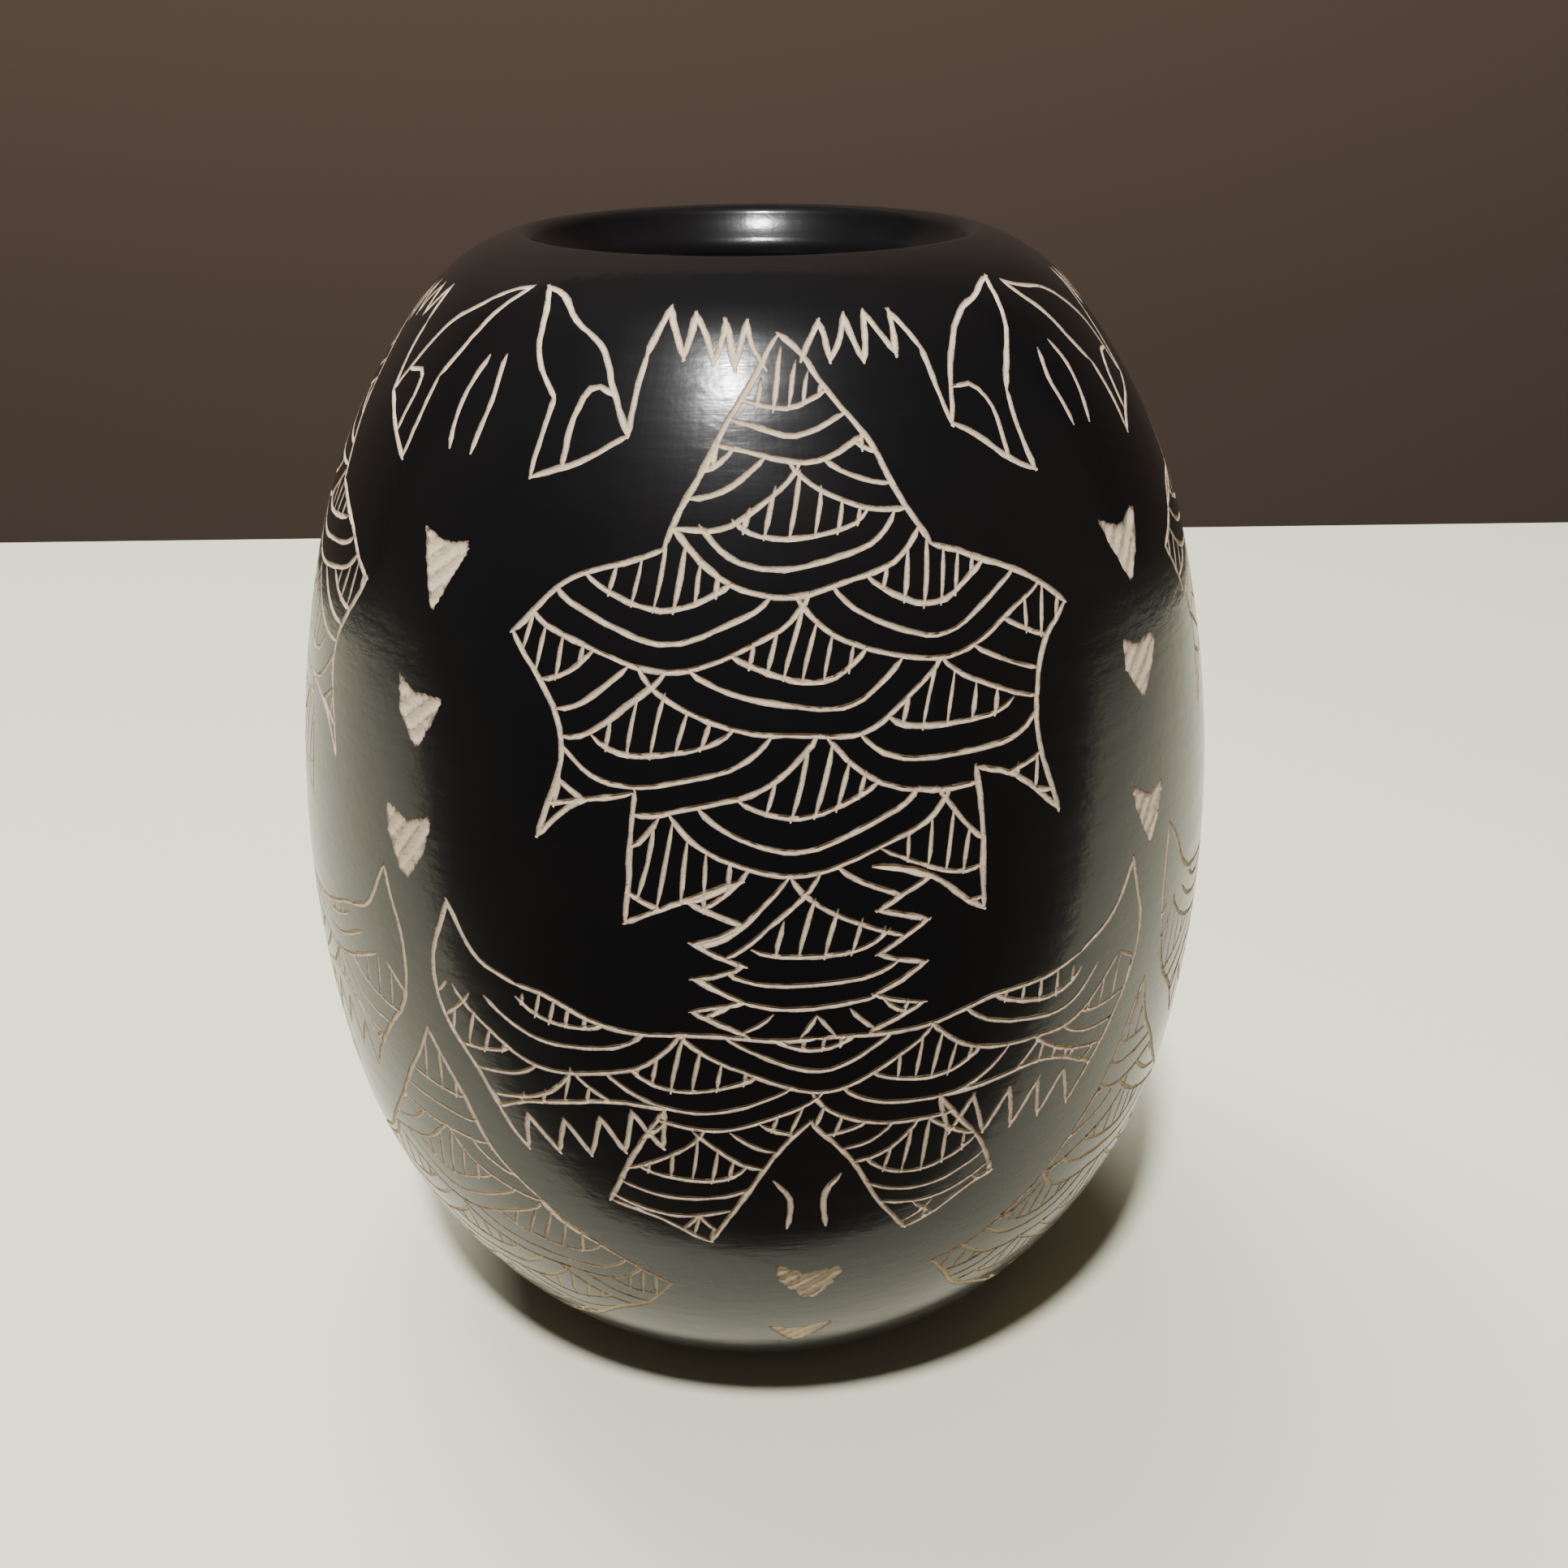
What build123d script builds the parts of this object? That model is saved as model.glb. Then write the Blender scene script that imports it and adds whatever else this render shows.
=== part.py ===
from build123d import *
from math import cos, radians
import os

# A hand-built clay jar with a thin, dark, polished skin. Z is the jar's axis and the jar
# stands on z = 0. Half of each section is drawn to the right of the axis and revolved.

# ---- driving dimensions, mm and degrees ----
lip_crest_radius = 29.0      # from the axis to the highest ring of the lip
wall_thickness = 5.0         # belly, lower wall, heel and floor
skin_thickness = 0.5         # slip coat, polished and fired black

# The clay's outer face, from the crest of the lip outward and down to the foot, as arcs
# that each leave the last along its tangent: (radius, degrees turned). They turn half a
# circle altogether, from level at the crest to level at the foot.
lip_arc = (1.0, 14.0)
collar_arc = (22.0, 35.5)
shoulder_arc = (78.5, 25.0)
belly_arc = (168.5, 23.5)
lower_arc = (72.5, 31.5)
heel_arc = (25.0, 50.5)
outer_arcs = (lip_arc, collar_arc, shoulder_arc, belly_arc, lower_arc, heel_arc)
belly = outer_arcs.index(belly_arc)

# The mouth's inner edge, from the same crest inward and down, in the same way. A hollow
# arc, with both numbers negative, lies between the lip's bead and the throat's.
bead_arc = (1.7, 62.0)
thumbed_arc = (-14.5, -14.0)
throat_bead_arc = (3.0, 42.0)
throat_arc = (8.5, 48.0)
mouth_arcs = (bead_arc, thumbed_arc, throat_bead_arc, throat_arc)

# The skin runs round the heel this far and stops clear of the ground.
skin_heel_arc = (heel_arc[0], 31.0)
skin_arcs = outer_arcs[:-1] + (skin_heel_arc,)

# ---- height of the clay's crest, which puts the foot on z = 0 ----
clay_height = 0.0
turned = 0.0
for arc_radius, arc_turn in outer_arcs:
    clay_height += arc_radius * (cos(radians(turned)) - cos(radians(turned + arc_turn)))
    turned += arc_turn
clay_crest = (lip_crest_radius, clay_height)
skin_crest = (lip_crest_radius, clay_height + skin_thickness)

OUTWARD = (1, 0)
INWARD = (-1, 0)
CLOCKWISE = -1
ANTICLOCKWISE = 1


def tangent_arcs(start, heading, arcs, direction, growth=0.0):
    """Draws arcs one after another, moved out by growth, and returns them."""
    drawn = []
    for radius, turn in arcs:
        arc = JernArc(start, heading, abs(radius + growth), direction * turn)
        drawn.append(arc)
        start = arc @ 1
        heading = arc % 1
    return drawn


# ---- clay body: lip, wall and flat foot, one fired piece ----
with BuildPart() as clay_body:
    with BuildSketch(Plane.XZ):
        with BuildLine():
            outside = tangent_arcs(clay_crest, OUTWARD, outer_arcs, CLOCKWISE)
            mouth = tangent_arcs(clay_crest, INWARD, mouth_arcs, ANTICLOCKWISE)

            # The hollow keeps one wall thickness inside the belly, lower wall and heel.
            belly_start = outside[belly] @ 0
            belly_heading = outside[belly] % 0
            to_inside = Vector(belly_heading.Y, -belly_heading.X)
            hollow = tangent_arcs(
                belly_start + to_inside * wall_thickness,
                belly_heading,
                outer_arcs[belly:],
                CLOCKWISE,
                growth=-wall_thickness,
            )

            # Behind the shoulder the wall thickens towards the lip.
            Spline(
                mouth[-1] @ 1,
                hollow[0] @ 0,
                tangents=[mouth[-1] % 1, hollow[0] % 0],
            )
            Polyline(hollow[-1] @ 1, (0, wall_thickness), (0, 0), outside[-1] @ 1)
        make_face()
    revolve(axis=Axis.Z)
clay_body.part.label = "clay_body"

# ---- burnished skin: over the outside, the lip and the upper throat ----
with BuildPart() as burnished_skin:
    with BuildSketch(Plane.XZ):
        with BuildLine():
            clay_side = tangent_arcs(clay_crest, OUTWARD, skin_arcs, CLOCKWISE)
            air_side = tangent_arcs(
                skin_crest, OUTWARD, skin_arcs, CLOCKWISE, growth=skin_thickness
            )
            clay_mouth = tangent_arcs(clay_crest, INWARD, mouth_arcs, ANTICLOCKWISE)
            air_mouth = tangent_arcs(
                skin_crest, INWARD, mouth_arcs, ANTICLOCKWISE, growth=skin_thickness
            )
            Line(clay_side[-1] @ 1, air_side[-1] @ 1)
            Line(clay_mouth[-1] @ 1, air_mouth[-1] @ 1)
        make_face()
    revolve(axis=Axis.Z)
burnished_skin.part.label = "burnished_skin"

# ---- one STEP file for each piece ----
os.makedirs("parts", exist_ok=True)
export_step(clay_body.part, "parts/clay_body.step")
export_step(burnished_skin.part, "parts/burnished_skin.step")
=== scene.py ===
import bpy
import numpy as np
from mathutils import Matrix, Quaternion, Vector
from mathutils.geometry import delaunay_2d_cdt


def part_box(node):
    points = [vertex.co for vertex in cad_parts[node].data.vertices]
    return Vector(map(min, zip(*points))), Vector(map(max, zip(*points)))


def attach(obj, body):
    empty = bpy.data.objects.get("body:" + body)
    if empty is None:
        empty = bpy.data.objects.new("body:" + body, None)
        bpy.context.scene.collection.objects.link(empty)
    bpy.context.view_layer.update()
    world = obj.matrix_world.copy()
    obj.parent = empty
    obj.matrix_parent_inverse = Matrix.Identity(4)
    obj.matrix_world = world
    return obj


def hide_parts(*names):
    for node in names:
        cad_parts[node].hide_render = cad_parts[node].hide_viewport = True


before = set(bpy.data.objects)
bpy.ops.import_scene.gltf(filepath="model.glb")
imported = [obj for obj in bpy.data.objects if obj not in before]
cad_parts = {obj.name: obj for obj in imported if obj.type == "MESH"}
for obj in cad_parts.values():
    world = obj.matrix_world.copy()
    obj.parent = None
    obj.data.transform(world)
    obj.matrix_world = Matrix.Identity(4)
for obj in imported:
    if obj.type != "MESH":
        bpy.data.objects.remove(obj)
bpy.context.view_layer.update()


# =============================================================================
# CLAY BODY
# The jar itself: a wall of fine clay built up by hand and scraped thin, with a
# flat foot. Smoke in the firing darkens the hollow, and the foot stays bare.
# =============================================================================
MM = 0.001


def node(tree, kind, **settings):
    """Adds a shader node; a name such as In_Scale sets the socket Scale, any other an option."""
    made = tree.nodes.new("ShaderNode" + kind)
    for name, value in settings.items():
        if name.startswith("In_"):
            made.inputs[name[3:].replace("_", " ")].default_value = value
        else:
            setattr(made, name, value)
    return made


def new_material(name):
    """A material with a Principled shader joined to its output; returns it, its tree and shader."""
    material = bpy.data.materials.new(name)
    material.use_nodes = True
    tree = material.node_tree
    shader = tree.nodes["Principled BSDF"]
    return material, tree, shader


def noise(tree, vector, scale, detail=3.0, roughness=0.55):
    """Grey noise, 0 to 1, with that many grains to each unit of its vector."""
    made = node(tree, "TexNoise", In_Scale=scale, In_Detail=detail, In_Roughness=roughness)
    tree.links.new(vector, made.inputs["Vector"])
    return made.outputs["Fac"]


def ramp(tree, value, *stops):
    """Turns a grey value into the colours of its (place, colour) stops."""
    made = node(tree, "ValToRGB")
    for place, colour in stops[1:-1]:
        made.color_ramp.elements.new(place)
    for element, (place, colour) in zip(made.color_ramp.elements, stops):
        element.position = place
        element.color = (*colour, 1.0)
    tree.links.new(value, made.inputs["Fac"])
    return made.outputs["Color"]


def bump(tree, height, distance, strength=1.0, under=None):
    """Raises the surface by up to distance where the height is 1."""
    made = node(tree, "Bump", In_Strength=strength, In_Distance=distance)
    tree.links.new(height, made.inputs["Height"])
    if under is not None:
        tree.links.new(under, made.inputs["Normal"])
    return made.outputs["Normal"]


def maths(tree, operation, first, second):
    """Joins two values, each a socket or a number, by one operation such as ADD."""
    made = node(tree, "Math", operation=operation)
    for socket, value in zip(made.inputs, (first, second)):
        if isinstance(value, (int, float)):
            socket.default_value = value
        else:
            tree.links.new(value, socket)
    return made.outputs[0]


def stretched(tree, scale):
    """Object coordinates, in metres, with each axis multiplied by its own number."""
    place = node(tree, "TexCoord")
    made = node(tree, "Mapping", In_Scale=scale)
    tree.links.new(place.outputs["Object"], made.inputs["Vector"])
    return made.outputs["Vector"]


def smoked_clay():
    """Bare fired clay: grey-brown where smoke reached it, warmer in patches, scraped round."""
    material, tree, shader = new_material("smoked_clay")
    place = stretched(tree, (1, 1, 1))
    patches = noise(tree, place, 40)
    grains = noise(tree, place, 1800, 2)
    scraping = noise(tree, stretched(tree, (1, 1, 12)), 60, 4)
    tone = maths(tree, "ADD", patches, maths(tree, "MULTIPLY", grains, 0.3))
    colour = ramp(
        tree, tone,
        (0.35, (0.020, 0.018, 0.017)),
        (0.65, (0.036, 0.030, 0.027)),
        (0.95, (0.075, 0.058, 0.048)),
    )
    tree.links.new(colour, shader.inputs["Base Color"])
    shader.inputs["Roughness"].default_value = 0.75
    scraped = bump(tree, scraping, 0.4 * MM, 0.6)
    tree.links.new(bump(tree, grains, 0.08 * MM, 0.5, scraped), shader.inputs["Normal"])
    return material


clay_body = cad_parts["clay_body"]
clay_body.data.materials.clear()
clay_body.data.materials.append(smoked_clay())


# =============================================================================
# BURNISHED SKIN WITH ITS SCRATCHED ORNAMENT
# A coat of fine slip, rubbed with a smooth stone until it shines and fired
# black. The ornament is scratched through it with a point, down to pale clay.
# =============================================================================
skin_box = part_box("burnished_skin")
skin_thickness = 0.5
crest_radius = 29.0
crest_height = skin_box[1].z / MM
top_of_wall = 3.0         # mm down the wall, above which nothing is scratched
foot_of_wall = 168.0      # below this the skin thins out to its edge

# The outer face from the crest outward and down, and the mouth from the crest inward and
# down: tangent arcs of (radius in mm, degrees turned), starting level. A hollow arc has both
# numbers negative.
outer_arcs = [(1.5, 14.0), (22.5, 35.5), (79.0, 25.0), (169.0, 23.5), (73.0, 31.5), (25.5, 31.0)]
mouth_arcs = [(2.2, 62.0), (-14.0, -14.0), (3.5, 42.0), (9.0, 48.0)]


def along(arcs, length):
    """Follows tangent arcs for each length: gives the distance across, the drop and the turn.
    Inside an arc of radius R that starts turned by a, after x mm it is turned by b = a + x / R,
    has gone R (sin b - sin a) across and has dropped R (cos a - cos b)."""
    radius = np.array([arc[0] for arc in arcs])
    swept = np.radians([arc[1] for arc in arcs])
    turned = np.cumsum(swept)
    before = turned - swept
    lengths = radius * swept
    across = radius * (np.sin(turned) - np.sin(before))
    drop = radius * (np.cos(before) - np.cos(turned))
    start, start_across, start_drop = (np.cumsum(v) - v for v in (lengths, across, drop))
    k = np.clip(np.searchsorted(start, length, side="right") - 1, 0, len(arcs) - 1)
    angle = before[k] + (length - start[k]) / radius[k]
    gone_across = start_across[k] + radius[k] * (np.sin(angle) - np.sin(before[k]))
    gone_down = start_drop[k] + radius[k] * (np.cos(before[k]) - np.cos(angle))
    return gone_across, gone_down, angle


def run_length(arcs):
    """The sum of radius times angle turned."""
    return sum(radius * np.radians(turn) for radius, turn in arcs)


wall_length = run_length(outer_arcs)

# Millimetres down the wall against "map height", the sum of each small step divided by the
# radius there. Azimuth and map height together keep every angle true on the real surface.
table_down = np.linspace(0, wall_length, 6001)
table_radius = crest_radius + along(outer_arcs, table_down)[0]
steps = np.diff(table_down) * (1 / table_radius[1:] + 1 / table_radius[:-1]) / 2
table_height = np.concatenate([[0], np.cumsum(steps)])


def to_map(points):
    """(azimuth in degrees, mm down the wall) to (azimuth in radians, map height)."""
    points = np.asarray(points, float)
    height = np.interp(points[:, 1], table_down, table_height)
    return np.column_stack([np.radians(points[:, 0]), height])


def radius_on_map(places):
    """The jar's radius in mm at each place, which turns map steps into mm."""
    return np.interp(places[:, 1], table_height, table_radius)


# ---- the ornament: plain leaves, scales and teeth, the same in each quarter of the jar ----
# Points are (azimuth in degrees from the figure's middle, mm down the wall). A figure is given
# by the sides of its right half, each a straight cut of two points or a curve through more.
chance = np.random.default_rng(11)


def smooth(points, per_span=8):
    """A curve through all the points: between two of them it is the cubic whose slope at each
    is half the step from the point before it to the point after it. Two points stay straight."""
    p = np.array(points, float)
    q = np.vstack([2 * p[0] - p[1], p, 2 * p[-1] - p[-2]])
    a, b, c, d = (part[:, None, :] for part in (q[:-3], q[1:-2], q[2:-1], q[3:]))
    t = np.linspace(0, 1, per_span, endpoint=False)[None, :, None]
    cubic = 2 * b + (c - a) * t + (2 * a - 5 * b + 4 * c - d) * t**2 + (3 * b - a - 3 * c + d) * t**3
    return np.vstack([cubic.reshape(-1, 2) / 2, p[-1:]])


def zigzag(start, end, teeth, tip):
    """Straight sides from start to end, up and down over that many teeth: tooth k stands on
    the line at (k + 1/2) / teeth of the way, moved by tip, and its foot is at k / teeth."""
    share = np.linspace(0, 1, 2 * teeth + 1)[:, None]
    points = np.array(start) * (1 - share) + np.array(end) * share
    points[1::2] += tip
    return list(zip(points[:-1], points[1:]))


def both_halves(sides):
    """Map lines of the sides and of their mirror images."""
    right = [to_map(smooth(side)) for side in sides]
    return right + [line * (-1, 1) for line in right]


def closed_outline(sides):
    """The polygon on the map that the right half's sides make with their mirror image."""
    half = np.concatenate([to_map(smooth(side)) for side in sides])
    return np.concatenate([half, half[::-1] * (-1, 1)])


def inside(outline, points):
    """A point is inside if a level line from it crosses the outline an odd number of times."""
    a, b = outline[:, None], np.roll(outline, -1, axis=0)[:, None]
    spans = (a[..., 1] > points[:, 1]) != (b[..., 1] > points[:, 1])
    with np.errstate(divide="ignore", invalid="ignore"):
        share = (points[:, 1] - a[..., 1]) / (b[..., 1] - a[..., 1])
        meets = a[..., 0] + share * (b[..., 0] - a[..., 0])
    return (spans & (points[:, 0] < meets)).sum(0) % 2 == 1


def stretches(line, kept, shortest):
    """The unbroken stretches of a line where kept is true, if they are long enough."""
    ends = np.flatnonzero(np.diff(np.concatenate([[False], kept, [False]]).astype(int)))
    found = [line[first:last] for first, last in zip(ends[::2], ends[1::2]) if last - first > 3]
    return [part for part in found if np.hypot(*np.diff(part, axis=0).T).sum() > shortest]


def fish_scales(outline, top, half_width, depth, hatch_gap):
    """Rows of overlapping scales inside an outline. Row k hangs from k * depth / 2 below the
    top, half a pitch aside of the row above. A scale is the lower part of an ellipse, with two
    smaller ones inside it, and the least of them is hatched with leaning lines. Only what the row
    above leaves open is cut. The top is in mm down the wall, and the half width, the depth and the
    hatch gap are in degrees on the map. Returns the arcs and the hatching."""
    ring_shares = (1.0, 0.79, 0.58)
    shortest_arc, shortest_hatch = 0.02, 0.016
    hand_shift, hand_size = 0.035, 0.02
    size = np.radians([half_width, depth])
    pitch = np.radians([1.7 * half_width, 0.5 * depth])
    low, high = outline.min(0), outline.max(0)
    start = to_map([(0, top)])[0, 1]
    row_count = int((high[1] - start) / pitch[1]) + 2
    reach = int(max(-low[0], high[0]) / pitch[0]) + 2
    rows = []
    for row in range(-1, row_count):
        places = (np.arange(-reach, reach + 1) + 0.5 * (row % 2)) * pitch[0]
        centres = np.column_stack([places, np.full(len(places), start + row * pitch[1])])
        rows.append(centres + chance.normal(0, hand_shift, centres.shape) * size)
    arcs, hatching = [], []
    turn = np.radians(np.linspace(0, 180, 150))
    gap = np.radians(hatch_gap)
    for above, centres in zip(rows[:-1], rows[1:]):
        for centre in centres:
            def open_part(line, shortest):
                covered = [np.hypot(*((line - other) / size).T) < 1 for other in above]
                kept = ~np.any(covered, axis=0) & inside(outline, line)
                return stretches(line, kept, shortest)

            for share in ring_shares:
                ring = share * size * (1 + chance.normal(0, hand_size, 2))
                ellipse = centre + ring * np.column_stack([np.cos(turn), np.sin(turn)])
                arcs += open_part(ellipse, shortest_arc)
            lean = chance.uniform(0.12, 0.3)
            bars = np.arange(-ring[0] + 0.5 * gap, ring[0], gap) + chance.normal(0, 0.06 * gap)
            for place in bars:
                rise = np.linspace(-0.3, 1, 110) * ring[1]
                bar = np.column_stack([place - lean * (rise - 0.3 * ring[1]), rise])
                bar = centre + bar[np.hypot(*(bar / ring).T) < 1.02]
                hatching += open_part(bar, shortest_hatch)
    return arcs, hatching


# A leaf of scales with three points to a side, on a notched stem.
leaf_sides = [
    [(0, 14), (6.5, 21), (11.5, 30), (15.5, 37.5)],
    [(15.5, 37.5), (24, 40.5), (32.5, 46)],
    [(32.5, 46), (28, 51.5), (26, 58.5), (28, 68.5)],
    [(28, 68.5), (23.5, 63.5), (18, 62)],
    [(18, 62), (19, 69), (18.5, 78)],
    [(18.5, 78), (13, 74), (6.5, 72)],
    *zigzag((6.5, 72), (6.5, 91), 4, (5.5, -0.5)),
]
# Below it a pair of horns, fringed underneath, with two slanting lappets.
horn_sides = [
    [(0, 91), (10, 91.5), (22, 90.5), (32, 88)],
    [(32, 88), (36.5, 85), (40.5, 79)],
    [(40.5, 79), (42.5, 88), (40.5, 97), (34.5, 106)],
    [(34.5, 106), (29, 102.5), (23.5, 101.5), (15, 102)],
    [(15, 102), (19, 109), (22, 116.5)],
    [(22, 116.5), (17, 118), (11, 122)],
    [(11, 122), (7, 114), (0, 102.5)],
]
fringe_sides = zigzag((15, 102), (34.5, 106), 5, (-1, 5.5))
short_arcs = [[(3.4, 112), (1.9, 115.5), (2.6, 120)]]
# Under the lip, a toothed edge to each side of the leaf's tip, and a long plain leaf.
collar_sides = [
    *zigzag((2.5, 17.5), (20, 15.5), 4, (0.5, -5.5)),
    [(20, 15.5), (21.5, 25)],
    [(21.5, 25), (33, 31)],
    [(33, 31), (33.5, 21.5)],
    [(33.5, 21.5), (43, 8)],
    [(43, 8), (33, 11.5), (26, 16.5), (21.5, 25)],
    [(23.5, 21), (27, 20.5), (29.3, 23.5), (29.5, 29)],
]
# Between the quarters, two short arcs under the lip and a pointed bell of scales.
gap_sides = [[(1.8, 18), (3.2, 22.5), (2, 28)]]
bell_sides = [
    [(0, 98), (3.5, 106), (9, 115), (15.5, 122.5)],
    [(15.5, 122.5), (22, 127.5), (29, 132)],
    [(29, 132), (23, 140), (13, 148.5), (0, 155)],
]

# Half widths of the cuts in mm. The outlines are the same in each quarter, while the scales
# inside them differ from one quarter to the next, as a free hand makes them.
outline_width, arc_width, hatch_width = 0.36, 0.33, 0.28
first_quarter = 5.0
quarters = first_quarter + 90 * np.arange(4)
between = 45
middle_sides = leaf_sides + horn_sides + fringe_sides + collar_sides + short_arcs
leaf, horns, bell = (closed_outline(sides) for sides in (leaf_sides, horn_sides, bell_sides))
leaf_scales = (16.0, 18.0, 15.0, 2.35)
horn_scales = (84.5, 15.0, 12.0, 2.2)
bell_scales = (99.5, 15.5, 13.0, 2.2)
cuts = []
for middle in quarters:
    drawn = [
        (middle, outline_width, both_halves(middle_sides)),
        (middle + between, outline_width, both_halves(gap_sides + bell_sides)),
    ]
    for place, outline, scales in (
        (middle, leaf, leaf_scales),
        (middle, horns, horn_scales),
        (middle + between, bell, bell_scales),
    ):
        arcs, hatching = fish_scales(outline, *scales)
        drawn += [(place, arc_width, arcs), (place, hatch_width, hatching)]
    for place, width, lines in drawn:
        cuts += [(line + (np.radians(place), 0), width) for line in lines]

# Small scraped hearts: three in a column between the quarters, and two at the bottom of each.
heart = np.array([
    (-4.3, -0.6), (-0.8, 0.9), (0.5, 1.1), (3.8, 0.2), (4.5, 1.1),
    (3.0, 4.7), (0.4, 8.3), (-0.6, 8.3), (-3.3, 3.6),
])
heart_places = [(between, 38), (between, 54.5), (between, 70.5), (0, 129), (0, 144)]
hearts = []
for middle in quarters:
    for across, down in heart_places:
        place = np.array([middle + across, down]) + chance.normal(0, 0.7, 2)
        size = chance.uniform(0.85, 1.02, 2)
        hearts.append(to_map(heart * size + chance.normal(0, 0.16, heart.shape) + place))


def by_hand(line):
    """What a free hand does to a line: three slow waves, each the sine of a whole number of
    turns round the jar plus so much of the map height, so that they close on themselves."""
    wave_size = 0.33
    moved = np.array(line)
    for turns, rise, phase in ((9, 7, 0.4), (14, -11, 2.1), (23, 15, 4.4)):
        wave = np.sin(turns * line[:, 0] + rise * line[:, 1] + phase)
        other = np.sin(turns * line[:, 0] - rise * line[:, 1] + 2 * phase)
        moved += np.column_stack([wave, other]) * wave_size / radius_on_map(line)[:, None]
    return moved


cuts = [(by_hand(line), width) for line, width in cuts]
hearts = [by_hand(corner) for corner in hearts]

# ---- the cuts as ribbons on the map, in mm ----
curve_step = 1.2
hatch_step = 2.1
cut_depth = 0.27
tip_length = 0.55
least_tip = 0.06


def ribbon(line, half_width, step):
    """A cut as a band of left, middle and right points, one set about every step mm. It runs on
    a little past both ends, its half width shrinks there as the square root of the distance to
    the tip, and hand and grain make the edges and the line waver."""
    radius = radius_on_map(line)
    first = line[1] - line[0]
    last = line[-1] - line[-2]
    over = chance.uniform(0.15, 0.5, 2)
    line = np.vstack([
        line[0] - first / np.hypot(*first) * over[0] / radius[0],
        line,
        line[-1] + last / np.hypot(*last) * over[1] / radius[-1],
    ])
    radius = radius_on_map(line)
    pieces = np.hypot(*np.diff(line, axis=0).T) * (radius[1:] + radius[:-1]) / 2
    reach = np.concatenate([[0], np.cumsum(pieces)])
    count = max(4, int(round(reach[-1] / step)) + 1)
    at = np.linspace(0, reach[-1], count)
    middle = np.column_stack([np.interp(at, reach, column) for column in line.T])
    radius = radius_on_map(middle)[:, None]
    heading = np.gradient(middle, axis=0)
    heading /= np.hypot(*heading.T)[:, None]
    aside = np.column_stack([-heading[:, 1], heading[:, 0]])
    waver = np.convolve(chance.normal(0, 0.07, count + 6), np.ones(7) / 7, "valid")
    middle = middle + aside * waver[:, None] / radius
    tip = np.minimum(at, reach[-1] - at)
    half = half_width * np.sqrt(np.clip((tip + least_tip) / tip_length, 0, 1))
    half = half * (1 + np.convolve(chance.normal(0, 0.16, count + 4), np.ones(5) / 5, "valid"))
    left, right = (half * (1 + chance.uniform(-0.2, 0.2, count)) for side in (0, 1))
    points = np.concatenate([
        middle,
        middle + aside * left[:, None] / radius,
        middle - aside * right[:, None] / radius,
    ])
    i = np.arange(count - 1)
    faces = np.concatenate([
        np.column_stack([i, i + count, i + count + 1]),
        np.column_stack([i, i + count + 1, i + 1]),
        np.column_stack([i, i + 1, i + 2 * count + 1]),
        np.column_stack([i, i + 2 * count + 1, i + 2 * count]),
    ])
    outline = np.concatenate([np.arange(count, 2 * count), np.arange(3 * count - 1, 2 * count - 1, -1)])
    depth = np.concatenate([cut_depth * chance.uniform(0.75, 1.2, count), np.zeros(2 * count)])
    return points, faces, outline, depth


places, bands, outlines, middles, depths = [], [], [], [], []
used = 0
for line, width in cuts:
    step = hatch_step if width == hatch_width else curve_step
    points, faces, outline, depth = ribbon(line, width, step)
    places.append(points)
    bands.append(faces + used)
    outlines.append(outline + used)
    middles.append(np.arange(len(outline) // 2) + used)
    depths.append(depth)
    used += len(points)

# ---- hearts: a scraped patch with the marks of the point running across it ----
scrape_step = 0.5
scrape_margin = 0.28
scrape_marks = 3.4        # radians of the sine to each mm across the marks


def heart_patch(corner):
    """The outline, ragged from the scraping, and points inside it on a slanted grid. The marks
    run along the slant, so the depth goes up and down across it as a sine."""
    following = np.roll(corner, -1, axis=0)
    share = np.linspace(0, 1, 9, endpoint=False)[None, :, None]
    edge = (corner[:, None] * (1 - share) + following[:, None] * share).reshape(-1, 2)
    edge = edge + chance.normal(0, 0.07, edge.shape) / radius_on_map(edge)[:, None]
    low, high = edge.min(0), edge.max(0)
    middle = (low + high) / 2
    size = float(radius_on_map(middle[None])[0])
    half = np.hypot(*(high - low)) / 2
    count = int(2 * half * size / scrape_step)
    u, v = np.meshgrid(*[np.linspace(-half, half, count)] * 2)
    slant = chance.uniform(0.6, 1.0)
    grid = np.column_stack([
        (u * np.cos(slant) + v * np.sin(slant)).ravel(),
        (v * np.cos(slant) - u * np.sin(slant)).ravel(),
    ]) + middle + chance.normal(0, 0.05, (count * count, 2)) / size
    room = np.hypot(*(grid[None] - edge[:, None]).transpose(2, 0, 1)).min(0) * size > scrape_margin
    keep = inside(edge, grid) & room
    across = v.ravel()[keep] * size
    # The floor's depth also sets the painted shade of the marks in the bare clay.
    floor = 0.17 + 0.12 * np.sin(across * scrape_marks + chance.uniform(0, 6))
    floor = floor + chance.normal(0, 0.03, keep.sum())
    return edge, grid[keep], floor.clip(0.03, 0.32)


heart_outlines = []
for corner in hearts:
    edge, inner, floor = heart_patch(corner)
    heart_outlines.append(np.arange(len(edge)) + used)
    places += [edge, inner]
    depths += [np.zeros(len(edge)), floor]
    used += len(edge) + len(inner)

# ---- the plain skin between: rows of points, each row half a step on from the last ----
columns = 120
top_of_map, foot_of_map = np.interp([top_of_wall, foot_of_wall], table_down, table_height)
row_height = 2 * np.pi / columns * np.sin(np.pi / 3)
rows = 2 * int(round((foot_of_map - top_of_map) / row_height / 2))
level = np.linspace(top_of_map, foot_of_map, rows + 1)
row, column = np.meshgrid(np.arange(rows + 1), np.arange(columns), indexing="ij")
azimuth = (column + 0.5 * (row % 2)) * 2 * np.pi / columns
plain = np.column_stack([azimuth.ravel(), level[row].ravel()])
first_plain = used
places.append(plain)
depths.append(np.zeros(len(plain)))

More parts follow.
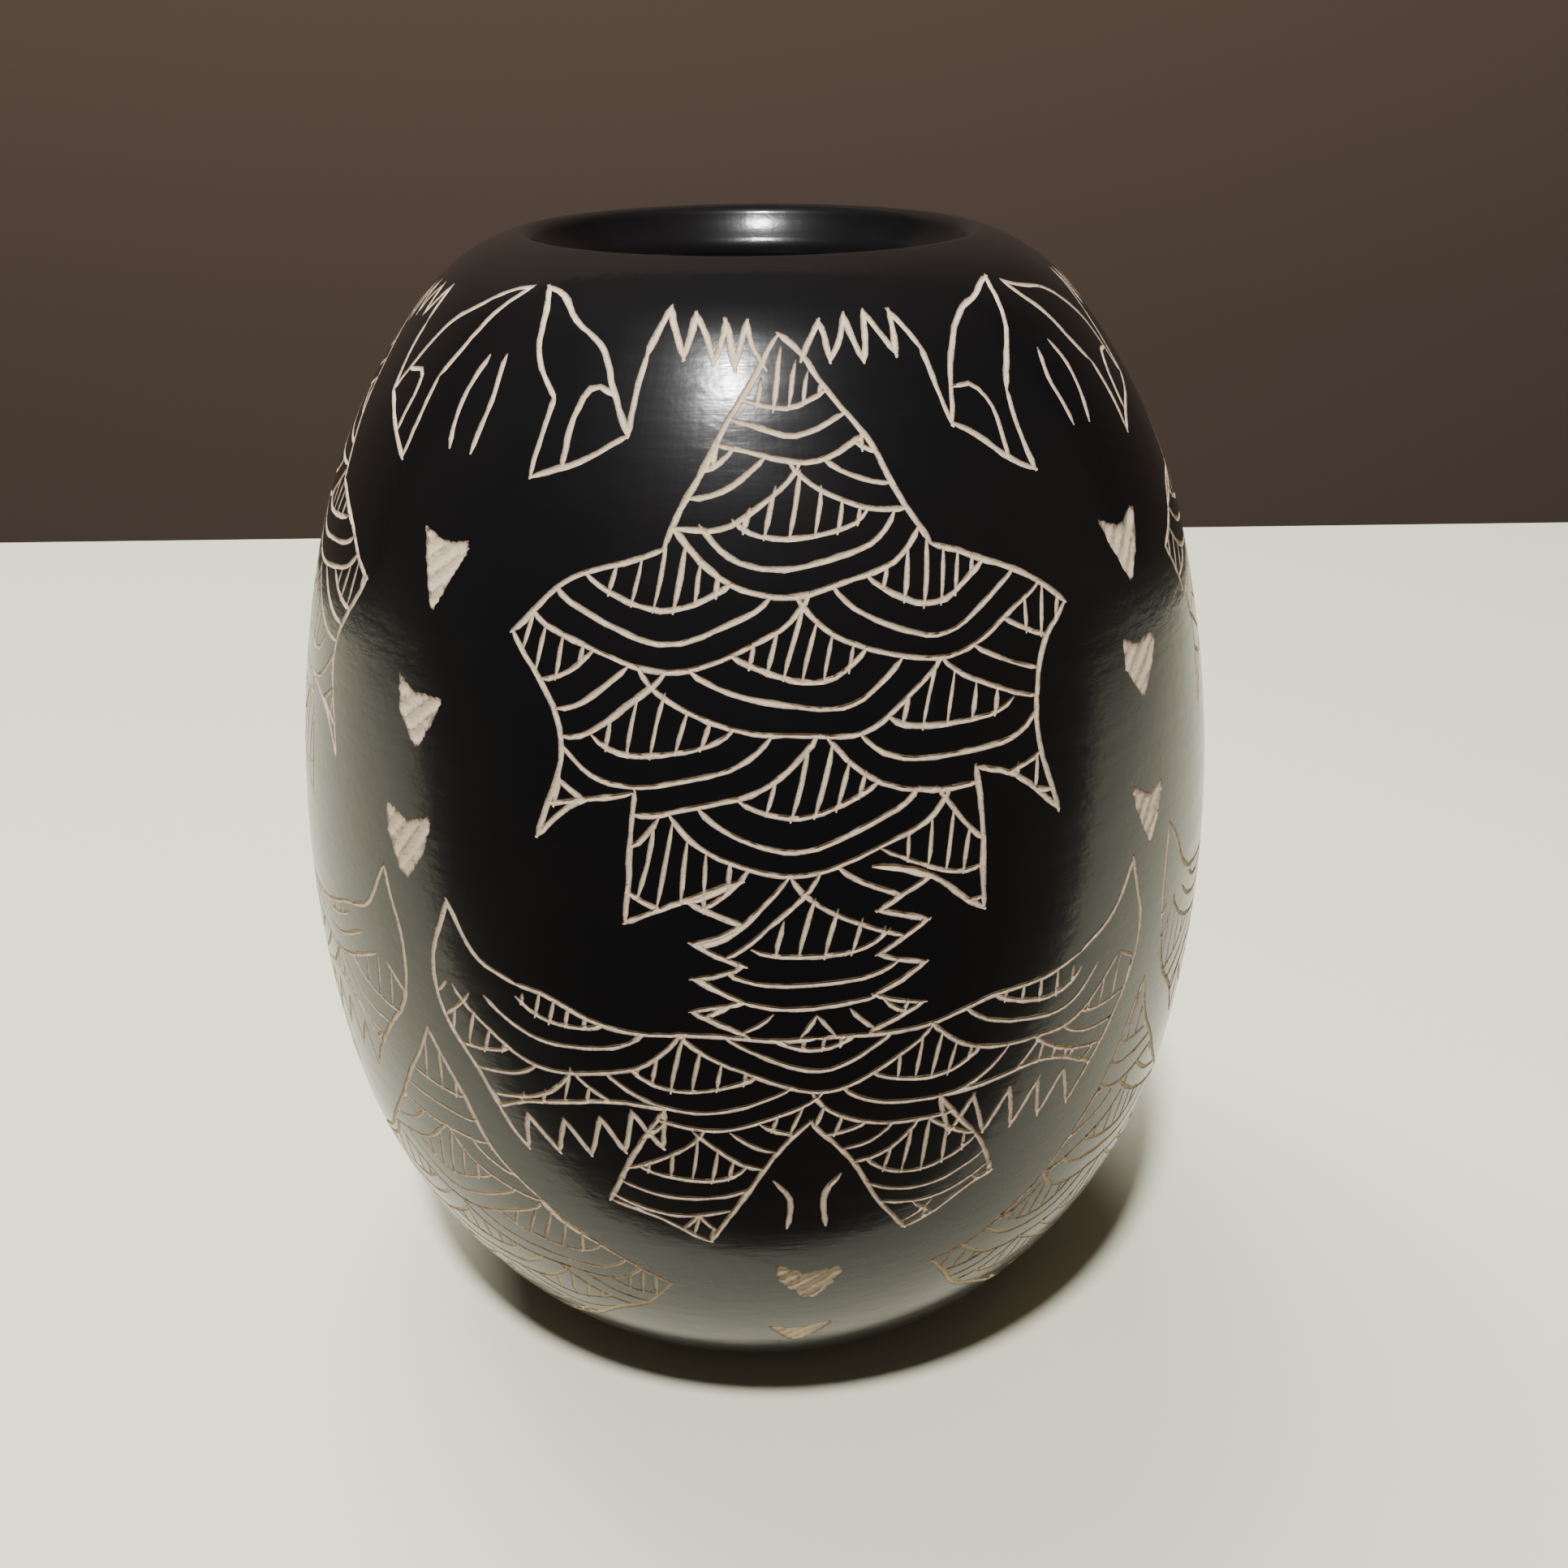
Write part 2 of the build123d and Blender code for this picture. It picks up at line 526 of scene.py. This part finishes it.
places = np.concatenate(places)
depths = np.concatenate(depths)

# The map is rolled into a flat ring, so that it has no seam: map height is the logarithm of
# the ring's radius, and angles stay true. Triangles are made there, between all the lines.
ring = np.exp(places[:, 1])[:, None] * np.column_stack([np.sin(places[:, 0]), -np.cos(places[:, 0])])
kept_edges = [np.column_stack([line, np.roll(line, -1)]) for line in outlines + heart_outlines]
kept_edges += [np.column_stack([line[:-1], line[1:]]) for line in middles]
as_triangles, nearest = 0, 1e-6
found = delaunay_2d_cdt(ring.tolist(), np.concatenate(kept_edges).tolist(), [], as_triangles, nearest, True)
ring_out = np.array([tuple(p) for p in found[0]], float)
triangles = np.array(found[2], int)
source_point = np.array([source[0] if source else -1 for source in found[3]])
out_height = np.log(np.hypot(*ring_out.T))
out_azimuth = np.arctan2(ring_out[:, 0], -ring_out[:, 1])

# A triangle is part of a cut if its middle lies in a triangle of a band, on the same hand of
# all three of its sides, or in a heart. Only the middles near that band or heart are tried.
centre = ring_out[triangles].mean(1)
cut_through = np.zeros(len(triangles), bool)


def near_to(points):
    """The numbers of the triangles whose middle is no further from theirs than the furthest."""
    middle = points.mean(0)
    return np.flatnonzero(np.hypot(*(centre - middle).T) < np.hypot(*(points - middle).T).max())


for faces in bands:
    corners = ring[faces][:, None]
    near = near_to(corners.reshape(-1, 2))
    sides = np.roll(corners, -1, axis=2) - corners
    hand = np.cross(sides, centre[near][None, :, None] - corners) > 0
    in_band = (hand.all(2) | ~hand.any(2)).any(0)
    cut_through[near[in_band]] = True
for outline in heart_outlines:
    near = near_to(ring[outline])
    cut_through[near] |= inside(ring[outline], centre[near])

# The hole in the middle of the ring is the mouth, so its triangles go.
in_mouth = np.hypot(*centre.T) < np.exp(top_of_map) * 0.999 * np.cos(np.pi / columns)
triangles = triangles[~in_mouth]
cut_through = cut_through[~in_mouth]

# A point that touches whole skin stays level with it, and the others go down. Where two cuts
# cross, the new points between them go down by crossing_share of a cut's depth.
crossing_share = 0.7
sunk = np.where(source_point >= 0, depths[source_point], 0.0)
crossing = np.isin(np.arange(len(ring_out)), triangles[cut_through])
sunk[crossing & (sunk == 0)] = crossing_share * cut_depth
sunk[np.unique(triangles[~cut_through])] = 0.0

down = np.interp(out_height, table_height, table_down)
across, drop, turned = along(outer_arcs, down)
radial = crest_radius + across - sunk * np.sin(turned)
height = crest_height - drop - sunk * np.cos(turned)
wall_points = np.column_stack([radial * np.sin(out_azimuth), -radial * np.cos(out_azimuth), height])
wall_normals = np.column_stack([
    np.sin(turned) * np.sin(out_azimuth),
    -np.sin(turned) * np.cos(out_azimuth),
    np.cos(turned),
])

# ---- the rest of the skin: over the lip into the throat, and back up against the clay ----
def profile_rows(arcs, lengths, side, inward):
    """Rows of the profile at those lengths: radius, height and the normal's two parts. Side is 1
    outward from the crest and -1 towards the mouth, and inward is how far into the clay."""
    gone, fell, angle = along(arcs, lengths)
    nr, nz = side * np.sin(angle), np.cos(angle)
    return np.column_stack([
        crest_radius + side * gone - inward * nr,
        crest_height - fell - inward * nz,
        nr,
        nz,
    ])


mouth_length = run_length(mouth_arcs)
edge_thickness = 0.06
feather_length = 3.0
lip_rows = profile_rows(outer_arcs, top_of_wall * np.linspace(1, 0, 9) ** 1.5, 1, 0)
throat_at = np.linspace(0, mouth_length, 28)[1:]
feather = np.clip((mouth_length - throat_at) / feather_length, 0, 1)
throat_rows = profile_rows(mouth_arcs, throat_at, -1, (skin_thickness - edge_thickness) * (1 - feather))
back_throat = profile_rows(mouth_arcs, np.linspace(mouth_length, 0, 5), -1, skin_thickness)
back_wall = profile_rows(outer_arcs, np.linspace(0, wall_length, 14)[1:], 1, skin_thickness)
back_rows = np.vstack([back_throat, back_wall])
back_rows[:, 2:] *= -1
heel_at = np.linspace(wall_length, foot_of_wall, 5)
heel_feather = np.clip((wall_length - heel_at) / feather_length, 0, 1)
heel_rows = profile_rows(outer_arcs, heel_at, 1, (skin_thickness - edge_thickness) * (1 - heel_feather))
strip = np.vstack([lip_rows, throat_rows, back_rows, heel_rows])

turns = np.arange(columns) * 2 * np.pi / columns
strip_points = np.stack([
    strip[:, :1] * np.sin(turns),
    -strip[:, :1] * np.cos(turns),
    strip[:, 1:2] + 0 * turns,
], axis=-1)
strip_normals = np.stack([
    strip[:, 2:3] * np.sin(turns),
    -strip[:, 2:3] * np.cos(turns),
    strip[:, 3:4] + 0 * turns,
], axis=-1)

place_of_source = np.full(len(places), -1)
place_of_source[source_point[source_point >= 0]] = np.nonzero(source_point >= 0)[0]
top_ring = place_of_source[first_plain + np.arange(columns)]
foot_ring = place_of_source[first_plain + rows * columns + np.arange(columns)]
inner_count = len(strip) - 2
number = np.arange(inner_count * columns).reshape(inner_count, columns) + len(wall_points)
number = np.vstack([top_ring, number, foot_ring])
following = np.roll(number, -1, axis=1)
quads = np.stack([number[:-1], following[:-1], following[1:], number[1:]], axis=-1).reshape(-1, 4)

vertices = np.concatenate([wall_points, strip_points[1:-1].reshape(-1, 3)]) * MM
normals = np.concatenate([wall_normals, strip_normals[1:-1].reshape(-1, 3)])
faces = triangles.tolist() + quads.tolist()
mesh = bpy.data.meshes.new("carved_skin")
mesh.from_pydata(vertices.tolist(), [], faces)
# The depth of each point, which the bare clay also turns into painted shade.
scrape = mesh.attributes.new("scrape_depth", "FLOAT", "POINT")
scrape.data.foreach_set("value", np.concatenate([sunk, np.zeros(len(vertices) - len(sunk))]))
is_cut = np.concatenate([cut_through, np.zeros(len(quads), bool)])
mesh.polygons.foreach_set("material_index", is_cut.astype(np.int32))
mesh.update()

# ---- shading normals: the true ones on the skin, the facets' own average in the cuts ----
a, b, c = (vertices[triangles[:, i]] for i in range(3))
facet = np.cross(b - a, c - a)
cut_normals = np.zeros_like(vertices)
for corner in range(3):
    np.add.at(cut_normals, triangles[cut_through, corner], facet[cut_through])
size = np.linalg.norm(cut_normals, axis=1, keepdims=True)
cut_normals = np.where(size > 0, cut_normals / np.maximum(size, 1e-20), normals)
loop_vertex = np.concatenate([triangles.ravel(), quads.ravel()])
loop_cut = np.concatenate([np.repeat(cut_through, 3), np.zeros(quads.size, bool)])
shading = np.where(loop_cut[:, None], cut_normals[loop_vertex], normals[loop_vertex])
mesh.normals_split_custom_set(shading.tolist())


def black_slip():
    """Burnished slip: near black with brown clouds, rubbed in fine level bands and faint upright
    streaks, with a second, duller gloss under the bright one. For the streaks the height counts
    for little beside the direction from the axis."""
    material, tree, shader = new_material("burnished_black_slip")
    place = stretched(tree, (1, 1, 1))
    clouds = noise(tree, place, 28, 3)
    colour = ramp(
        tree, clouds,
        (0.40, (0.0050, 0.0050, 0.0054)),
        (0.60, (0.0066, 0.0060, 0.0060)),
        (0.80, (0.0120, 0.0080, 0.0070)),
    )
    tree.links.new(colour, shader.inputs["Base Color"])
    flat = node(tree, "VectorMath", operation="MULTIPLY")
    tree.links.new(place, flat.inputs[0])
    flat.inputs[1].default_value = (1, 1, 0)
    round_axis = node(tree, "VectorMath", operation="NORMALIZE")
    tree.links.new(flat.outputs[0], round_axis.inputs[0])
    little_height = node(tree, "VectorMath", operation="MULTIPLY")
    tree.links.new(place, little_height.inputs[0])
    little_height.inputs[1].default_value = (0, 0, 0.4)
    upright = node(tree, "VectorMath", operation="ADD")
    tree.links.new(round_axis.outputs[0], upright.inputs[0])
    tree.links.new(little_height.outputs[0], upright.inputs[1])
    streaks = noise(tree, upright.outputs[0], 95, 3, 0.6)
    bands = noise(tree, stretched(tree, (1, 1, 11)), 55, 4, 0.65)
    specks = noise(tree, place, 700, 2)
    waves = noise(tree, stretched(tree, (1, 1, 1.8)), 210, 3, 0.6)
    in_streaks = maths(tree, "MULTIPLY", streaks, 0.08)
    in_bands = maths(tree, "MULTIPLY", bands, 0.20)
    gloss = maths(tree, "ADD", in_streaks, in_bands)
    tree.links.new(maths(tree, "ADD", gloss, 0.035), shader.inputs["Roughness"])
    waved = bump(tree, waves, 0.1 * MM, 0.5)
    banded = bump(tree, bands, 0.06 * MM, 0.45, waved)
    streaked = bump(tree, streaks, 0.03 * MM, 0.08, banded)
    tree.links.new(bump(tree, specks, 0.035 * MM, 0.4, streaked), shader.inputs["Normal"])
    shader.inputs["IOR"].default_value = 1.36
    shader.inputs["Coat Weight"].default_value = 0.2
    shader.inputs["Coat Roughness"].default_value = 0.36
    return material


def bare_clay():
    """Clay laid open by the point: pale buff, dull and grainy. It is darker where the cut is shallow,
    as at its edges and between two strokes of a scraped patch: painted shade of the cut and its marks."""
    material, tree, shader = new_material("scratched_clay_and_painted_shade")
    place = stretched(tree, (1, 1, 1))
    grains = noise(tree, place, 2600, 2)
    tint = noise(tree, place, 140, 2)
    depth = node(tree, "Attribute", attribute_name="scrape_depth").outputs["Fac"]
    # Painted shade: the deeper the cut or scrape mark, the paler the clay, and the shallower, the darker.
    painted_cut_shade = maths(tree, "MULTIPLY", depth, 3.2)
    speckled = maths(tree, "MULTIPLY", maths(tree, "SUBTRACT", grains, 0.5), 0.5)
    tone = maths(tree, "ADD", maths(tree, "ADD", painted_cut_shade, speckled), maths(tree, "MULTIPLY", tint, 0.25))
    # The darkest stop is the painted shade at the cut's shallow parts; the paler stops are the clay's own
    # colour.
    colour = ramp(
        tree, tone,
        (0.10, (0.13, 0.095, 0.075)),
        (0.28, (0.40, 0.30, 0.22)),
        (0.50, (0.68, 0.53, 0.36)),
        (0.95, (0.80, 0.65, 0.45)),
    )
    tree.links.new(colour, shader.inputs["Base Color"])
    shader.inputs["Roughness"].default_value = 0.92
    tree.links.new(bump(tree, grains, 0.12 * MM, 0.7), shader.inputs["Normal"])
    return material


skin = bpy.data.objects.new("carved_skin", mesh)
bpy.context.scene.collection.objects.link(skin)
mesh.materials.append(black_slip())
mesh.materials.append(bare_clay())
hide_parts("burnished_skin")
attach(skin, "root")


# =============================================================================
# TABLE, WALL, LIGHT AND CAMERA
# A pale table top with a dim brown wall behind it, a small soft lamp high in
# front, which the polish reflects, and a wide one behind for the soft shadow.
# =============================================================================
def plain_sheet(name, corners, faces, colour, roughness):
    """A painted board or wall of flat faces, which isn't part of the object."""
    sheet = bpy.data.meshes.new(name)
    sheet.from_pydata(corners, [], faces)
    made = bpy.data.objects.new(name, sheet)
    bpy.context.scene.collection.objects.link(made)
    material, tree, shader = new_material(name + "_paint")
    shader.inputs["Base Color"].default_value = (*colour, 1)
    shader.inputs["Roughness"].default_value = roughness
    sheet.materials.append(material)


table_front, table_back, table_end, table_thickness = -0.078, 0.382, 2.0, 0.04
table_outline = [
    (-table_end, table_front),
    (table_end, table_front),
    (table_end, table_back),
    (-table_end, table_back),
]
table_corners = [(x, y, z) for z in (0, -table_thickness) for x, y in table_outline]
table_faces = [(0, 1, 2, 3), (7, 6, 5, 4), (4, 5, 1, 0), (5, 6, 2, 1), (6, 7, 3, 2), (7, 4, 0, 3)]
plain_sheet("table_top", table_corners, table_faces, (0.86, 0.85, 0.64), 0.5)
wall_place, wall_end, wall_low, wall_high = 0.9, 3, -1, 2
wall_corners = [
    (-wall_end, wall_place, wall_low),
    (wall_end, wall_place, wall_low),
    (wall_end, wall_place, wall_high),
    (-wall_end, wall_place, wall_high),
]
plain_sheet("wall", wall_corners, [(0, 1, 2, 3)], (0.084, 0.058, 0.042), 0.9)

world = bpy.data.worlds.new("room")
bpy.context.scene.world = world
world.use_nodes = True
room_light = world.node_tree.nodes["Background"]
room_light.inputs["Color"].default_value = (0.075, 0.062, 0.054, 1)
room_light.inputs["Strength"].default_value = 1.0


def soft_lamp(name, place, aim, size, power):
    """A round lamp of that size in metres and power in watts, which faces the aim."""
    lamp = bpy.data.lights.new(name, "AREA")
    lamp.shape = "DISK"
    lamp.size = size
    lamp.energy = power
    made = bpy.data.objects.new(name, lamp)
    made.location = place
    made.rotation_mode = "QUATERNION"
    made.rotation_quaternion = (Vector(aim) - Vector(place)).to_track_quat("-Z", "Y")
    bpy.context.scene.collection.objects.link(made)
    return made


soft_lamp("ceiling_lamp", (-0.14, -0.76, 1.6), (0, 0, 0.1), 0.16, 46)
# The wide lamp only lightens: it is too dim in the room to show in the polish.
wide_lamp = soft_lamp("wide_lamp", (-0.38, 0.70, 1.38), (0, 0, 0.05), 1.3, 42)
wide_lamp.visible_glossy = False

camera_data = bpy.data.cameras.new("camera")
camera_data.sensor_width = 36
camera_data.lens = 37.27
camera = bpy.data.objects.new("camera", camera_data)
bpy.context.scene.collection.objects.link(camera)
camera.location = (0, -0.21507, 0.17417)
# Degrees the camera looks down, to the right, and leans.
pitch, yaw, roll = np.radians([25.06, 1.03, -0.45])
forward = Vector((np.sin(yaw) * np.cos(pitch), np.cos(yaw) * np.cos(pitch), -np.sin(pitch)))
camera.rotation_mode = "QUATERNION"
camera.rotation_quaternion = forward.to_track_quat("-Z", "Y") @ Quaternion((0, 0, 1), roll)
camera_data.clip_start = 0.01
bpy.context.scene.camera = camera
